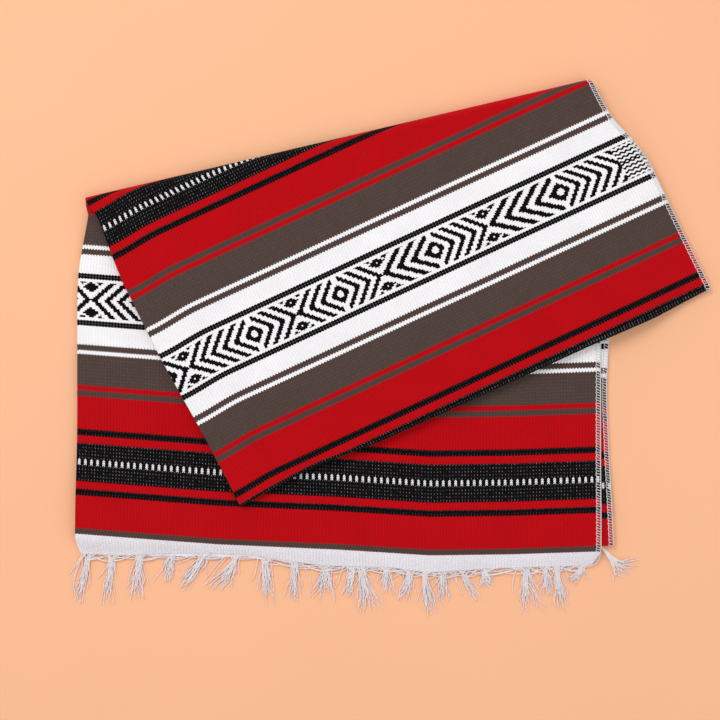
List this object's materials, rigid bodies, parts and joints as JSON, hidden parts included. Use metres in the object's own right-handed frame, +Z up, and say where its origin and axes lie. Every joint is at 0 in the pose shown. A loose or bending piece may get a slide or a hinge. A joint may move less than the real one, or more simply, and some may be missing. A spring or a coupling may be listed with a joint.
{
  "type": "table runner",
  "caption": "Folded striped woven table runner with a geometric band, overlocked long edges, white headings and loose fringe; its upper half is turned over on a slanting fold.",
  "frame": {"origin": "middle of the footprint, on the surface it lies on", "axes": "+X along the stripes of the lower half, towards the overlocked edges; +Y away from the fringed end; +Z up"},
  "size_m": [0.7832, 0.6518, 0.0226],
  "materials": {
    "striped_cloth": "matt weft-faced rib weave in red, black, taupe and white stripes",
    "white_heading": "matt white weave with a slight twill",
    "overlock_thread": "soft white overlock thread",
    "fringe_yarn": "soft loosely twisted white cotton yarn"
  },
  "bodies": {
    "base": {"upper_layer_cloth": "striped_cloth", "upper_layer_heading": "white_heading", "upper_layer_overlock_top_edge": "overlock_thread", "upper_layer_overlock_under_edge": "overlock_thread", "lower_layer_cloth": "striped_cloth", "lower_layer_heading": "white_heading", "lower_layer_overlock_top_edge": "overlock_thread", "lower_layer_overlock_under_edge": "overlock_thread", "lower_layer_fringe": "fringe_yarn", "corner_fringe_bundle": "fringe_yarn"},
    "flap": {"flap_inner_cloth": "striped_cloth", "flap_outer_cloth": "striped_cloth", "flap_inner_overlock_top_edge": "overlock_thread", "flap_inner_overlock_under_edge": "overlock_thread", "flap_outer_overlock_top_edge": "overlock_thread", "flap_outer_overlock_under_edge": "overlock_thread"},
    "fringe": {"fringe_bundle_01": "fringe_yarn", "fringe_bundle_02": "fringe_yarn", "fringe_bundle_03": "fringe_yarn", "fringe_bundle_04": "fringe_yarn", "fringe_bundle_05": "fringe_yarn", "fringe_bundle_06": "fringe_yarn", "fringe_bundle_07": "fringe_yarn", "fringe_bundle_08": "fringe_yarn", "fringe_bundle_09": "fringe_yarn", "fringe_bundle_10": "fringe_yarn", "fringe_bundle_11": "fringe_yarn", "fringe_bundle_12": "fringe_yarn", "fringe_bundle_13": "fringe_yarn", "fringe_bundle_14": "fringe_yarn", "fringe_bundle_15": "fringe_yarn", "fringe_bundle_16": "fringe_yarn", "fringe_bundle_17": "fringe_yarn", "fringe_bundle_18": "fringe_yarn", "fringe_bundle_19": "fringe_yarn", "fringe_bundle_20": "fringe_yarn", "fringe_bundle_21": "fringe_yarn"}
  },
  "joints": [
    {"name": "flap_fold", "type": "hinge", "parent": "base", "child": "flap", "pos_m": [-0.37946, 0.17764, 0.00905], "axis": [-0.9736, -0.2284, 0], "range_deg": [0, 179.36]},
    {"name": "fringe_fold", "type": "hinge", "parent": "base", "child": "fringe", "pos_m": [-0.37946, -0.25966, 0.0046], "axis": [-0.9998, 0.0191, 0], "range_deg": [0, 150]}
  ]
}
